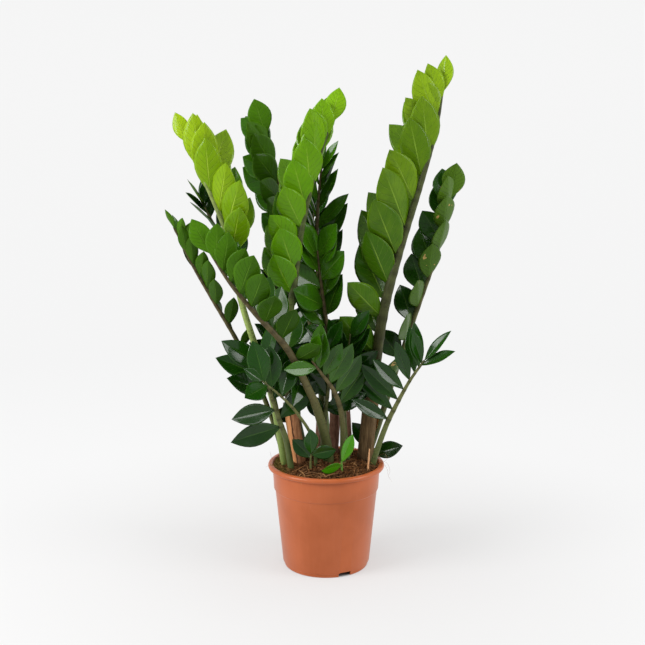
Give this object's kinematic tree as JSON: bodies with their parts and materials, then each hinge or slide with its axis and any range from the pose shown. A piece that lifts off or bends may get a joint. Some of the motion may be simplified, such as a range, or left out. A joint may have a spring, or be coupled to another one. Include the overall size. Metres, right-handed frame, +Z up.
{
  "type": "potted zz plant",
  "caption": "Live ZZ plant with arching leafy fronds and dry stem sheaths, rooted in soil in a tapered plastic nursery pot with a rolled rim.",
  "frame": {"origin": "centre of the pot's underside, on its standing pad", "axes": "+Z up along the pot's axis, -Y towards the front, +X towards the tallest frond"},
  "size_m": [0.4694, 0.3046, 0.8205],
  "materials": {
    "pot": "terracotta-coloured moulded plastic, satin",
    "soil": "coarse brown peat and coir potting mix, matte",
    "sheath": "dry papery leaf sheath, matte",
    "frond_light": "young yellow-green leaflets on olive stems, waxy and semi-glossy",
    "frond_mid": "mid-green leaflets on olive stems, waxy and glossy",
    "frond_dark": "old dark-green leaflets, waxy and glossy"
  },
  "bodies": {
    "root": {"pot": "pot", "soil": "soil", "sheath_left": "sheath", "sheath_right": "sheath", "sheath_centre_dark": "sheath", "sheath_centre_low": "sheath", "sheath_centre_back": "sheath", "frond_right_tall": "frond_light", "frond_centre_light": "frond_light", "frond_left_light": "frond_light", "frond_left_brown": "frond_mid", "frond_right_dark": "frond_dark", "frond_right_low": "frond_dark", "frond_front_left": "frond_dark", "frond_front_centre": "frond_mid", "frond_far_left": "frond_mid", "frond_low_left": "frond_dark", "frond_centre_dark": "frond_mid", "frond_centre_low": "frond_mid", "frond_left_mid": "frond_mid", "frond_left_back": "frond_dark", "frond_front_dark": "frond_dark", "frond_low_right": "frond_dark", "frond_low_back": "frond_dark", "frond_back_left": "frond_dark", "frond_back_tall": "frond_dark", "baby_shoot": "frond_light", "rim_shoot": "frond_dark", "dark_shoot": "frond_dark", "dry_stub": "sheath"}
  },
  "joints": []
}
